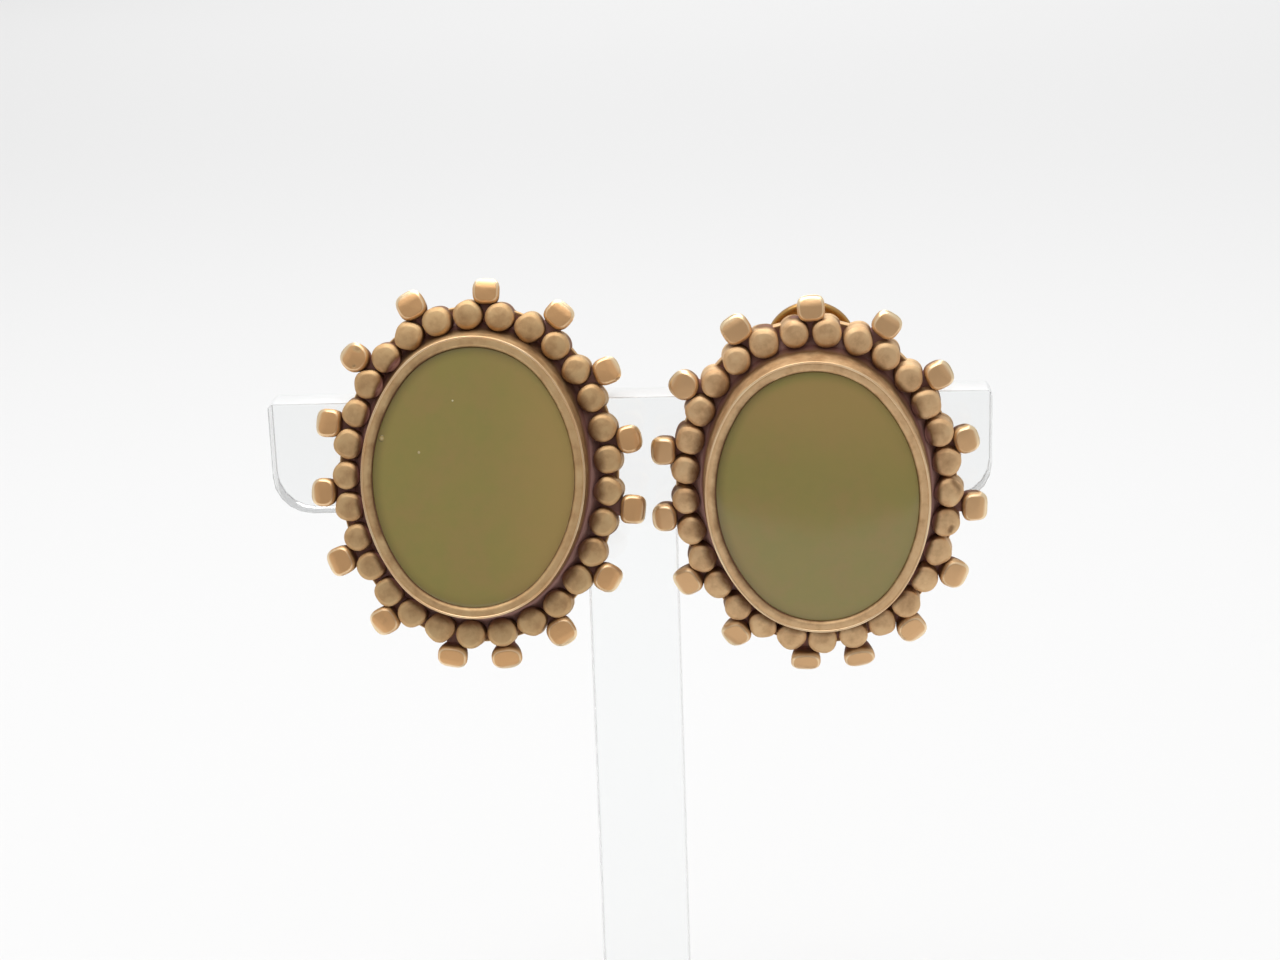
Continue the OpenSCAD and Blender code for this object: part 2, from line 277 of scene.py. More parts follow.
def giltMaterial(name, look):
    # Cast white metal, tumbled, gilded and antiqued: satin high spots, brown wash in the hollows.
    # The cast grain is about 0.12 mm and the cloudy rubbing of the wash about 1.6 mm.
    made, tree, place = newMaterial(name)
    wearAndShading = node(tree, "Attribute", {"attribute_name": "wearAndShading"}).outputs["Fac"]
    cloud = node(tree, "TexNoise", Vector=place, Scale=1 / (look["cloud"] * mm), Detail=4.0,
                 Roughness=0.6)
    grain = node(tree, "TexNoise", Vector=place, Scale=1 / (look["grain"] * mm), Detail=2.0)
    spread = node(tree, "Math", {"operation": "MULTIPLY_ADD"}, _0=cloud, _1=look["cloudSpread"],
                  _2=-look["cloudSpread"] / 2)
    rubbed = node(tree, "Math", {"operation": "ADD", "use_clamp": True}, _0=wearAndShading, _1=spread)
    blend = node(tree, "MapRange", Value=cloud, From_Min=0.3, From_Max=0.7)
    satin = node(tree, "Mix", inColour, Factor=blend, _6=rgb(look["tan"]), _7=rgb(look["pale"]))
    worn = node(tree, "MapRange", Value=wearAndShading, From_Min=look["faceFrom"], From_Max=look["faceFull"])
    face = node(tree, "Mix", inColour, Factor=worn, _6=satin, _7=rgb(look["gold"]))
    hollow = node(tree, "MapRange", Value=wearAndShading, From_Min=0.0, From_Max=look["plumAt"])
    deep = node(tree, "Mix", inColour, Factor=hollow, _6=rgb(look["patina"]), _7=rgb(look["wash"]))
    bared = node(tree, "MapRange", Value=rubbed, From_Min=look["plumTo"], From_Max=look["brownAt"])
    wash = node(tree, "Mix", inColour, Factor=bared, _6=deep, _7=rgb(look["brown"]))
    bare = node(tree, "MapRange", Value=rubbed, From_Min=look["brownAt"], From_Max=look["satinAt"])
    metal = node(tree, "Mix", inColour, Factor=bare, _6=wash, _7=face)
    high = node(tree, "MapRange", Value=wearAndShading, From_Min=look["edgeAt"], From_Max=1.0)
    colour = node(tree, "Mix", inColour, Factor=high, _6=metal, _7=rgb(look["rubbed"]))
    dull = node(tree, "MapRange", Value=rubbed, From_Min=0.2, From_Max=0.7,
                To_Min=look["patinaRoughness"], To_Max=look["roughness"])
    rough = node(tree, "MapRange", Value=wearAndShading, From_Min=0.82, From_Max=0.98, To_Min=dull,
                 To_Max=look["edgeRoughness"])
    shine = node(tree, "MapRange", Value=rubbed, From_Min=look["plumAt"], From_Max=look["brownAt"],
                 To_Min=look["patinaMetal"], To_Max=1.0)
    fine = node(tree, "Math", {"operation": "MULTIPLY"}, _0=grain, _1=look["grainShare"])
    height = node(tree, "Math", {"operation": "MULTIPLY_ADD"}, _0=cloud, _1=look["cloudShare"],
                  _2=fine)
    bump = node(tree, "Bump", Height=height, Distance=look["grainHeight"] * mm)
    shader = node(tree, "BsdfPrincipled", Base_Color=colour, Metallic=shine, Roughness=rough,
                  Normal=bump)
    node(tree, "OutputMaterial", Surface=shader)
    return made


# The stone. The wear-and-shading attribute is under 1 in a painted shadow of the rim, 1 on the
# plain green, brownAt where it is brown all over, and up to 2 in a pale pit.
stoneLook = {
    "olive": "#95874a", "brown": "#9a854d", "green": "#8e8649", "warm": "#a88b52",
    "rimShadow": "#4e3f22", "pit": "#d9d3ac", "brownAt": 1.2, "patch": 4.5, "vein": 1.2,
    "roughness": 0.1, "polishWave": 2.5, "polishHeight": 0.002,
}


def jasperMaterial(name, look):
    # Olive jasper, ground flat and polished: an even opaque green with faint brown clouds about
    # 4.5 mm across, browner towards one side, and a soft gloss from a not quite flat polish.
    made, tree, place = newMaterial(name)
    patch = node(tree, "TexNoise", Vector=place, Scale=1 / (look["patch"] * mm), Detail=3.0,
                 Roughness=0.55, Distortion=0.4)
    vein = node(tree, "TexNoise", Vector=place, Scale=1 / (look["vein"] * mm), Detail=5.0,
                Roughness=0.6)
    cloudy = node(tree, "MapRange", Value=patch, From_Min=0.4, From_Max=0.65)
    veined = node(tree, "MapRange", Value=vein, From_Min=0.45, From_Max=0.7, To_Max=0.5)
    first = node(tree, "Mix", inColour, Factor=cloudy, _6=rgb(look["olive"]), _7=rgb(look["brown"]))
    second = node(tree, "Mix", inColour, Factor=veined, _6=first, _7=rgb(look["green"]))
    wearAndShading = node(tree, "Attribute", {"attribute_name": "wearAndShading"}).outputs["Fac"]
    # Painted shadow of the rim: dark brown mixed in where the value is under 1.
    plain = node(tree, "Mix", inColour, Factor=wearAndShading, _6=rgb(look["rimShadow"]), _7=second)
    ripe = node(tree, "MapRange", Value=wearAndShading, From_Min=1.0, From_Max=look["brownAt"])
    browned = node(tree, "Mix", inColour, Factor=ripe, _6=plain, _7=rgb(look["warm"]))
    pale = node(tree, "MapRange", Value=wearAndShading, From_Min=look["brownAt"], From_Max=2.0)
    colour = node(tree, "Mix", inColour, Factor=pale, _6=browned, _7=rgb(look["pit"]))
    polish = node(tree, "TexNoise", Vector=place, Scale=1 / (look["polishWave"] * mm), Detail=1.0)
    bump = node(tree, "Bump", Height=polish, Distance=look["polishHeight"] * mm)
    shader = node(tree, "BsdfPrincipled", Base_Color=colour, Roughness=look["roughness"], IOR=1.54,
                  Normal=bump)
    node(tree, "OutputMaterial", Surface=shader)
    return made


# The acrylic. The attribute wear is 1 on polished faces, less on sawn sides, near 0 on the top.
acrylicLook = {
    "tint": "#fbfcfc", "roughness": 0.02, "wave": 9.0, "waveHeight": 0.004,
    "edgeRoughness": 0.35, "edgeClear": 0.1,
}


def acrylicMaterial(name, look):
    # Cast clear acrylic, water clear with a very slight ripple. Its sawn edges are less polished
    # than its faces, and the bar's top is satin and shows as a pale line.
    made, tree, place = newMaterial(name)
    ripple = node(tree, "TexNoise", Vector=place, Scale=1 / (look["wave"] * mm), Detail=1.0)
    bump = node(tree, "Bump", Height=ripple, Distance=look["waveHeight"] * mm)
    polished = node(tree, "Attribute", {"attribute_name": "wearAndShading"}).outputs["Fac"]
    rough = node(tree, "MapRange", Value=polished, To_Min=look["edgeRoughness"],
                 To_Max=look["roughness"])
    clear = node(tree, "MapRange", Value=polished, To_Min=look["edgeClear"])
    shader = node(tree, "BsdfPrincipled", Base_Color=rgb(look["tint"]), Roughness=rough, IOR=1.49,
                  Transmission_Weight=clear, Normal=bump)
    node(tree, "OutputMaterial", Surface=shader)
    return made


# The right earring's gilt is a paler copy of the left one's. The clips are plainer.
paleGilding = {**gilding, "tan": "#dcb487", "pale": "#e9ca9e", "gold": "#dfb688"}
clipGilding = {
    **gilding, "tan": "#b98d50", "pale": "#c79c5f", "gold": "#b98d50", "rubbed": "#d8b06c",
    "roughness": 0.34, "grainHeight": 0.002,
}
gilt = {
    "left": giltMaterial("antiquedGiltCasting", gilding),
    "right": giltMaterial("paleAntiquedGiltCasting", paleGilding),
}
clipGilt = giltMaterial("wornGiltStamping", clipGilding)
jasper = jasperMaterial("polishedOliveJasper", stoneLook)
acrylic = acrylicMaterial("clearCastAcrylic", acrylicLook)
print("materials made")


# The plate and its collar

# The bead is the thin raised line along the rim's outer edge, the band the rim's flat, and the
# fill rounds the corner between collar and plate.
collar = {
    "plateEdge": 2.82, "plateThickness": 1.1, "plateRound": 0.22,
    "rimHeight": 5.9, "rimWidth": 1.05, "flare": 0.4, "fillWidth": 1.1, "fillHeight": 2.0,
    "fillTuck": 0.12, "wallTuck": 0.16, "wallStart": 0.3,
    "bead": 0.12, "beadProud": 0.02, "bandDrop": 0.06, "innerRoll": 0.42,
    "hammered": 0.022, "hammeredSideways": 0.6, "hammerWaves": (2, 3, 5, 7, 9, 13, 21),
    "hammerSeed": 11, "ovalSteps": 360,
}

# Wear of the collar's surfaces, with painted light and painted shade. The wall is plum up to
# plumHeight and tan from tanHeight. At the top of each earring these are lower, by a side's own
# amount and a share of it above, and the wall is lighter there: painted light from above, more on
# the left earring. The inside of the rim is darker on the left: painted shade.
collarTone = {
    "topLight": {"left": 1.8, "right": 1.0}, "topLightAbove": 0.6, "plumHeight": 2.4, "tanHeight": 5.0,
    "wall": 0.46, "wallTopLight": 0.26, "foot": 0.06, "rise": 0.38, "riseFrom": 3.0,
    "plate": 0.36, "back": 0.8, "inside": 0.5, "insideTop": 0.3, "insideShadeLeft": 0.24,
    "bead": 0.93, "beadWave": 0.08, "beadWaves": (3, 5, 8, 13), "beadSeed": 3,
}


# Profile (gap, height) to carry round the oval, and the scale that shrinks its flat ends to the
# middle. The fill rises to fillHeight t^1.5. Extra rings beside the edges keep the faces flat.
def collarProfile():
    c = collar
    edge, thick, top, wide = c["plateEdge"], c["plateThickness"], c["rimHeight"], c["rimWidth"]
    corner, bead, roll = c["plateRound"], c["bead"], c["innerRoll"]
    band = top - c["bandDrop"]
    t = np.linspace(0, 1, 9)
    profile = np.concatenate([
        [(-wide, 0), (0, 0), (1.4, 0), (edge - corner - 0.1, 0)],
        arc(edge - corner, corner, corner, -90, 0, 5),
        arc(edge - corner, thick - corner, corner, 0, 90, 5),
        [(edge - 0.6, thick), (c["flare"] + c["fillWidth"] + 0.1, thick)],
        np.stack([c["flare"] - c["fillTuck"] + c["fillWidth"] * (1 - t),
                  thick + c["fillHeight"] * t ** 1.5], -1),
        np.stack([np.linspace(c["flare"] - c["wallTuck"], c["beadProud"], 8),
                  np.linspace(thick + c["fillHeight"] + c["wallStart"], top - bead - 0.12, 8)], -1),
        arc(-bead + c["beadProud"], top - bead, bead, 0, 165, 9),
        [(-2 * bead, band - 0.01), (-2 * bead - 0.1, band), (-0.45, band)],
        arc(roll - wide, band - roll, roll, 92, 178, 10),
        [(-wide, top - 0.65), (-wide, top - 1.2), (-wide, thick + 0.2), (-wide, thick)],
    ])
    shrink = np.array([0.04, 0.3, 0.6, 0.9])
    middle = np.full(len(shrink), -wide)
    gap = np.concatenate([middle, profile[:, 0], middle])
    height = np.concatenate([np.zeros(len(shrink)), profile[:, 1], np.full(len(shrink), thick)])
    scale = np.concatenate([shrink, np.ones(len(profile)), shrink[::-1]])
    return gap[:, None], height[:, None], scale[:, None]


# Wear and painted shading by gap and height along the profile and by angle from the top: (wall +
# more at the top, as painted light) times a step from plum to tan, an uneven bright bead, and an
# inside that is darker on the left, as painted shade.
def collarWearAndShading(side, gap, height, angle):
    c, tone = collar, collarTone
    top = c["rimHeight"]
    band = top - c["bandDrop"]
    upper = smooth(-0.1, 0.9, np.cos(angle))[None]
    # Painted light: the wall is lighter towards the top of each earring, more on the left one.
    topLight = upper * tone["topLight"][side]
    wall = (tone["wall"] + tone["wallTopLight"] * upper) * smooth(
        tone["plumHeight"] - topLight, tone["tanHeight"] - tone["topLightAbove"] * topLight, height)
    wall = np.maximum(wall, tone["foot"] + tone["rise"] * smooth(tone["riseFrom"], top - 0.4, height))
    wall = wall + tone["plate"] * smooth(2.1, 2.6, gap)
    # Painted shade: the inside of the rim is darker on the left.
    leftward = smooth(-0.3, 0.8, -np.sin(angle))[None]
    inside = tone["inside"] + tone["insideTop"] * smooth(band - 0.35, band - 0.05, height)
    inside = inside - tone["insideShadeLeft"] * leftward * smooth(-0.4, -0.95, gap)
    wearAndShading = np.where(gap > -0.05, wall, inside)
    bead = tone["bead"] + tone["beadWave"] * waves(angle, tone["beadSeed"], tone["beadWaves"])[None]
    wearAndShading = np.where(height > band + 0.005, bead, wearAndShading)
    isBack = (height < 0.5 * c["plateThickness"]) | (gap > c["plateEdge"] - 0.1)
    return np.where(isBack, tone["back"], wearAndShading)


# The profile carried round the oval, its upper part made uneven by hammered times a wave.
def collarShell(side):
    c = collar
    gap, height, scale = collarProfile()
    place = np.linspace(0, oval["pegs"], c["ovalSteps"], endpoint=False)
    angle = place / oval["pegs"] * 2 * math.pi
    raised = smooth(c["plateThickness"] + 0.5, c["rimHeight"] - 0.4, height)
    uneven = c["hammered"] * raised * waves(angle, c["hammerSeed"], c["hammerWaves"])[None]
    x, y = ovalPoint(ovalNormal(place)[None], gap + c["hammeredSideways"] * uneven)
    grid = pointsOf(x * scale, y * scale, height + uneven)
    return shell(hung(grid, side), collarWearAndShading(side, gap, height, angle))


# The pegs

# Wear of every peg from its foot to its face, what is added outward on its flank, and limits.
pegTone = {
    "foot": 0.6, "low": 0.2, "shoulder": 0.74, "edge": 0.94, "face": 0.86, "outward": 0.42,
    "least": 0.07, "most": 0.98,
}


# Buttons p[peg, ring, spoke]: a flank scaled from foot to 1, an edge
# (wide (1 - cos t), deep sin t) up to the sweep, then a flat face; the outline is a superellipse
# less each ring's inset, made uneven by waves. Also gives each point's wear and share of face.
def buttons(look, a, b, power, foot, length):
    sweep = math.radians(look["sweep"])
    shoulder = length - look["edgeDeep"] * math.sin(sweep)
    t = np.linspace(0, 1, 8)
    curve = np.linspace(0, sweep, 8)[1:]
    lip = look["edgeWide"] * (1 - math.cos(sweep))
    inset = np.concatenate([np.zeros(len(t)), look["edgeWide"] * (1 - np.cos(curve)),
                            [lip + 0.02, lip + 0.06]])
    height = np.concatenate([shoulder * t, shoulder + look["edgeDeep"] * np.sin(curve),
                             [length, length]])
    core = np.array([0.93, 0.8, 0.66, 0.52, 0.38, 0.24, 0.1])  # rings of the face
    spokes = circle(look["spokes"])
    outline = superellipse(spokes, a - inset[:, None], b - inset[:, None], power)
    flare = np.zeros(len(inset))
    flare[:len(t)] = (1 - t) ** 1.5
    outline = outline * (1 + (foot - 1) * flare[:, None])
    r = np.concatenate([outline, outline[:, -1:] * core[:, None]], 1)
    height = np.concatenate([height, np.full(len(core), length)])
    isFace = smooth(shoulder, length - 0.02, height)[None, :, None]
    count, seed = len(a), look["outlineSeed"]
    r = r * (1 + look["unevenness"] * waves(spokes, seed, (2, 3, 4, 5), (count,))[:, None])
    dent = waves(spokes, seed + 1, (1, 2, 3), (count,))[:, None] * r
    lx, ly = r * np.sin(spokes), r * np.cos(spokes)
    lz = (height[None, :, None] + look["dent"] * isFace * dent
          - look["dome"] * isFace * (r / a) ** 2)
    tone = np.interp(height, [0, 0.3 * shoulder, shoulder, length - 0.12, length - 0.02, length],
                     [pegTone[k] for k in ("foot", "low", "shoulder", "edge", "edge", "face")])
    outward = pegTone["outward"] * smooth(0.2, 1.0, ly) * (1 - isFace)
    return lx, ly, lz, np.minimum(tone[None, :, None] + outward, pegTone["most"]), isFace


# Turns points in the pegs' own planes: (x cos - y sin, x sin + y cos).
def turnedInPlane(lx, ly, angle):
    c, s = np.cos(angle), np.sin(angle)
    return lx * c - ly * s, lx * s + ly * c


# Sets buttons at places of the inner ring: the ring's point + lx along it + out along the normal.
def onRing(place, lx, out, up):
    normal = ovalNormal(place)[:, None, None]
    x, y = ovalPoint(normal, np.full(normal.shape, oval["ringGap"]))
    return pointsOf(x + lx * np.cos(normal) + out * np.sin(normal),
                    y - lx * np.sin(normal) + out * np.cos(normal), up)


# Knocks, and smears of wash and of painted shade, on the pegs' faces: peg, start and end in the
# earring's x and y from the peg's middle, half width and depth, and how much wear they take away.
knocks = {
    "left": {"large": (
        (13, (0.02, -0.86), (0.08, -0.84), 0.2, 0.08, 0.3),
        (13, (0.2, 0.84), (0.55, 0.7), 0.36, 0.02, 0.16),
    ), "small": (
        (23, (1.3, 0.4), (1.2, -0.7), 0.75, 0.05, 0.2),
        (24, (1.3, 0.5), (1.0, -0.9), 0.85, 0.05, 0.3),
        (25, (1.2, -0.1), (0.5, -1.2), 0.85, 0.05, 0.35),
    )},
    "right": {"large": (), "small": (
        (4, (-0.9, 0.6), (-0.9, -0.3), 0.85, 0.06, 0.2),
        (5, (-0.9, 0.6), (-0.9, -0.5), 0.85, 0.08, 0.22),
        (7, (0.5, 1.05), (0.95, 0.2), 0.42, 0.22, 0.25),
        (8, (0.3, -0.8), (0.5, -0.4), 0.4, 0.18, 0.3),
    )},
}


# How near a peg's points are to a knock: 1 - smooth(distance from its middle line / half width).
def nearness(lx, ly, normal, start, end, halfWidth):
    x = lx * math.cos(normal) + ly * math.sin(normal) - start[0]
    y = ly * math.cos(normal) - lx * math.sin(normal) - start[1]
    dx, dy = end[0] - start[0], end[1] - start[1]
    t = np.clip((x * dx + y * dy) / (dx * dx + dy * dy), 0, 1)
    return 1 - smooth(0, halfWidth, np.hypot(x - t * dx, y - t * dy))


# Presses a side's knocks into the heights lz of one kind of peg and takes away their wear.
def knock(side, kind, places, lx, ly, lz, wearAndShading):
    for peg, start, end, halfWidth, depth, taken in knocks[side][kind]:
        near = nearness(lx[peg], ly[peg], float(ovalNormal(places[peg])), start, end, halfWidth)
        near = near * smooth(0.5 * lz[peg].max(), 0.9 * lz[peg].max(), lz[peg])
        lz[peg] -= depth * near
        wearAndShading[peg] = np.maximum(wearAndShading[peg] - taken * near, pegTone["least"])


# The 29 small pegs of the inner ring. The edge's curve is a quarter of an ellipse, edgeWide across
# and edgeDeep along the peg, cut off at the sweep. Wash and painted shade darken the side towards
# the collar, with more painted shade below, on the sides and on the shady side, and a smear of
# wash and painted shade darkens the other side.
smallPeg = {
    "start": 0.76, "footRadius": 1.47, "faceRadius": 1.33, "foot": 0.5, "face": 3.0,
    "edgeWide": 0.5, "edgeDeep": 0.5, "sweep": 76, "spokes": 40,
    "unevenness": 0.025, "dome": 0.16, "dent": 0.03, "outlineSeed": 21,
    "seeds": {"left": 5, "right": 6}, "sizes": (0.97, 1.03), "squareness": (1.95, 2.6),
    "rise": (-0.1, 0.06), "tilt": 5, "tiltSpread": 5, "rollSpread": 4,
    "wash": 0.4, "shadeBelow": 0.15, "shadeSides": 0.12, "shadeShadySide": 0.1, "washAndShadeSmear": 0.42,
    "washAndShadeLeast": 0.16, "washAndShadeMore": 0.74, "faceMost": 0.8, "worn": 0.05,
    "shadySide": {"left": 1, "right": -1},
}


# Drafted round pegs on the ring, each a little squarish, turned and tilted its own way.
def smallPegShells(side):
    p = smallPeg
    rng = np.random.default_rng(p["seeds"][side])
    count = oval["pegs"]
    place = p["start"] + np.arange(count)
    size = (p["faceRadius"] * rng.uniform(*p["sizes"], count))[:, None, None]
    power = rng.uniform(*p["squareness"], count)[:, None, None]
    turn = rng.uniform(0, math.pi / 2, count)[:, None, None]
    rise = rng.uniform(*p["rise"], count)[:, None, None]
    lean = p["tilt"] + rng.uniform(-p["tiltSpread"], p["tiltSpread"], count)
    roll = rng.uniform(-p["rollSpread"], p["rollSpread"], count)
    lean, roll = (np.tan(np.radians(a))[:, None, None] for a in (lean, roll))
    depth = p["face"] - p["foot"]
    lx, ly, lz, wearAndShading, isFace = buttons(p, size, size, power, p["footRadius"] / size, depth)
    lx, ly = turnedInPlane(lx, ly, turn)
    up = smooth(0.4 * depth, depth, lz)
    lz = lz + up * (rise - ly * lean - lx * roll)
    angle = (2 * math.pi * place / count)[:, None, None]
    shady = np.sin(angle) * p["shadySide"][side]
    # Painted shade with the wash: more below, on the sides and on the shady side; then a smear on the
    # other side.
    washAndShade = (p["wash"] - p["shadeBelow"] * np.cos(angle) + p["shadeSides"] * np.abs(shady)
              + p["shadeShadySide"] * shady)
    inward = washAndShade * smooth(0.1 - 0.3 * shady, 1.35 - 0.1 * shady, -ly)
    inward = inward + p["washAndShadeSmear"] * smooth(0.45, 1.3, -ly) * smooth(0.1, 0.8, -shady)
    taken = inward * (p["washAndShadeLeast"] + p["washAndShadeMore"] * smooth(0.3, 0.9, wearAndShading))
    wearAndShading = np.clip(wearAndShading - taken, pegTone["least"], p["faceMost"])
    wearAndShading = wearAndShading - p["worn"] * isFace * (1 - smooth(0.2, 1.1, np.hypot(lx, ly)))
    knock(side, "small", place, lx, ly, lz, wearAndShading)
    return shell(hung(onRing(place, lx, ly, p["foot"] + lz), side), wearAndShading)


# The 15 large pegs. Their faces slope down outward by slope and sink where they splay.
largePeg = {
    "face": 2.6, "length": 2.1, "footScale": 0.93, "edgeWide": 0.56, "edgeDeep": 0.6, "sweep": 64,
    "spokes": 56, "unevenness": 0.025, "dome": 0.07, "dent": 0.03, "outlineSeed": 33,
    "seeds": {"left": 8, "right": 9}, "sizes": (0.97, 1.0), "slope": 0.34, "sink": 0.15,
    "tilt": 4, "outerFace": 0.97, "innerShade": 0.35, "least": 0.08,
}

# Where each large peg is: its place in pitches of the inner ring, distance of the face's middle
# out from that ring, size along and across the ring, own turn, outward splay, and squareness.
largePegColumns = ("place", "out", "along", "across", "turn", "splay", "square")
largePegRow = dict(zip(largePegColumns, np.array([
    (0.28, 2.31, 2.60, 2.50, 3, 8, 3.0),
    (2.29, 2.54, 2.70, 2.55, -4, 8, 2.8),
    (4.25, 2.50, 2.65, 2.60, -8, 8, 2.9),
    (6.25, 2.32, 2.65, 2.45, 4, 8, 2.7),
    (8.21, 2.63, 2.75, 2.45, 5, 8, 3.4),
    (10.25, 2.53, 2.75, 2.70, -1, 15, 2.6),
    (12.19, 2.48, 2.80, 2.80, -5, 15, 2.5),
    (13.79, 2.68, 3.00, 2.35, -4, 20, 2.4),
    (15.21, 2.57, 2.95, 2.30, 4, 18, 2.7),
    (17.24, 2.40, 2.70, 2.70, -18, 15, 2.8),
    (19.29, 2.53, 2.80, 2.75, 2, 15, 2.9),
    (21.28, 2.37, 2.75, 2.45, -7, 8, 2.8),
    (23.24, 2.37, 2.75, 2.45, 11, 8, 3.2),
    (25.22, 2.53, 2.80, 2.80, -12, 8, 2.3),
    (27.26, 2.45, 2.75, 2.70, 0, 8, 2.8),
]).T))


# Nuggets outside the ring: buttons turned by their own turn and laid outward by their splay.
def largePegShells(side):
    p, row = largePeg, largePegRow
    col = {k: v[:, None, None] for k, v in row.items()}
    rng = np.random.default_rng(p["seeds"][side])
    count = len(row["place"])
    size = rng.uniform(*p["sizes"], count)[:, None, None]
    lean = np.tan(np.radians(rng.uniform(-1, 1, (2, count)) * p["tilt"]))[..., None, None]
    foot = p["footScale"] * (1 - 0.8 * col["splay"] / 90)
    lx, ly, lz, wearAndShading, isFace = buttons(p, col["along"] / 2 * size, col["across"] / 2 * size,
                                       col["square"], foot, p["length"])
    lx, ly = turnedInPlane(lx, ly, np.radians(col["turn"]))
    off = smooth(0.15, 1.15, ly / (col["across"] / 2))
    lz = lz - isFace * p["slope"] * off
    wearAndShading = wearAndShading + isFace * (p["outerFace"] - wearAndShading) * smooth(0.15, 0.9, off)
    knock(side, "large", row["place"], lx, ly, lz, wearAndShading)
    lz = lz - smooth(0.5, p["length"], lz) * (ly * lean[0] + lx * lean[1]) - p["length"]
    splay = np.radians(col["splay"])
    out = col["out"] + ly * np.cos(splay) + lz * np.sin(splay)
    up = p["face"] * (1 - p["sink"] * np.sin(splay)) + lz * np.cos(splay) - ly * np.sin(splay)
    wearAndShading = np.maximum(wearAndShading - p["innerShade"] * smooth(0.3, 1.2, -ly) * (1 - isFace), p["least"])
    return shell(hung(onRing(row["place"], lx, out, up), side), wearAndShading)


# The necks that carry the large pegs. Each starts root inside the ring and is overlap longer than
# the way out to its peg, with a waist and a slight sag in its middle.
neck = {
    "foot": 0.2, "top": 1.5, "width": 2.5, "endWidth": 2.2, "sink": 1.5, "root": 0.8,
    "overlap": 1.1, "waist": 0.5, "sag": 0.15, "endShrink": 0.75, "square": 3.0,
    "rings": 14, "spokes": 32, "back": 0.6, "wash": 0.08, "outward": 0.32,
}


# Flat webs from the inner ring out under each large peg: superellipse sections along the normal.
def neckShells(side):
    n, row = neck, largePegRow
    t = np.linspace(0, 1, n["rings"])[None, :, None]
    reach = (row["out"] - n["sink"] * np.sin(np.radians(row["splay"])))[:, None, None]
    out = -n["root"] + (reach + n["overlap"]) * t
    closing = 1 - np.abs(2 * t - 1) ** 8 * n["endShrink"]
    bow = np.sin(math.pi * t)
    half = (n["width"] + (n["endWidth"] - n["width"]) * t - n["waist"] * bow) / 2 * closing
    top = n["top"] - n["sag"] * bow
    middle, rise = (top + n["foot"]) / 2, (top - n["foot"]) / 2 * closing
    spokes = circle(n["spokes"])
    r = superellipse(spokes, half, rise, n["square"])
    lx, out, up = np.broadcast_arrays(r * np.sin(spokes), out, middle + r * np.cos(spokes))
    wearAndShading = np.where(up < 0.45, n["back"], n["wash"] + n["outward"] * smooth(1.2, 2.6, out))
    return shell(hung(onRing(row["place"], lx, out, up), side), wearAndShading)


# The stone

# The stone's darkening along its upper left edge is a painted shadow of the rim.
cabochon = {
    "gap": 0.01, "recess": 0.42, "dome": 0.3, "lip": 0.09, "edgeRound": 0.03,
    "rings": 40, "spokes": 240, "rimShadow": 0.36, "rimShadowWidth": 1.1, "rimShadowTowards": 60,
    "warm": 0.16, "warmTowards": {"left": (1, 0), "right": (0.2, 1)},
}

# Flaws in the left stone: place, radius, height, and wear from the middle out (2 is pale).
flaws = (
    ((-8.48, 3.71), 0.3, 0.07, (1.5, 1.2, 0.5, 0.6)),
    ((-1.8, 7.2), 0.1, 0.03, (1.8, 1.8, 1.4, 1)),
    ((-5.0, 2.4), 0.14, 0.03, (1.5, 1.5, 1.3, 1)),
)


# Height of the stone at a share s of the way out: edge + dome (1 - s^3) + lip (1 - s^24).
def stoneHeight(share):
    s = cabochon
    edge = collar["rimHeight"] - s["recess"]
    return edge + s["dome"] * (1 - share ** 3) + s["lip"] * (1 - share ** 24)


# Stack of ovals: foot, wall, rounded edge, then the domed top. The value is 1 less a painted
# shadow of the rim that fades in from the edge, on the upper left, plus a warmth that grows
# towards one side.
def stoneShell(side):
    s = cabochon
    gap = -collar["rimWidth"] - s["gap"]
    foot = collar["plateThickness"] + s["gap"]
    edge = collar["rimHeight"] - s["recess"]
    r = s["edgeRound"]
    rounded = arc(gap - r, edge - r, r, 0, 90, 4)
    share = 1 - np.linspace(0, 0.98, s["rings"]) ** 1.6
    base = np.array([0.05, 0.4, 0.8, 0.98])
    gaps = np.concatenate([[gap] * 6, rounded[:, 0], np.full(len(share), gap - r)])
    height = np.concatenate([np.full(len(base), foot), [foot, edge - r - 0.05], rounded[:, 1],
                             stoneHeight(share)])
    scales = np.concatenate([base, np.ones(6), share])
    place = np.linspace(0, oval["pegs"], s["spokes"], endpoint=False)
    x, y = ovalPoint(ovalNormal(place)[None], gaps[:, None])
    grid = pointsOf(x * scales[:, None], y * scales[:, None], height[:, None])
    inward = (1 - scales[:, None]) * np.hypot(x, y)
    angle = place / oval["pegs"] * 2 * math.pi
    towards = 0.5 + 0.5 * np.cos(angle + math.radians(s["rimShadowTowards"]))
    # Painted shadow of the rim, deepest at the upper left.
    rimShadow = s["rimShadow"] * towards ** 1.5 * (1 - smooth(0, s["rimShadowWidth"], inward))
    wx, wy = s["warmTowards"][side]
    warm = s["warm"] * smooth(0.05, 0.9, grid[..., 0] * wx / oval["halfWidth"]
                              + grid[..., 1] * wy / oval["halfHeight"])
    return shell(hung(grid, side), 1 - rimShadow + warm)


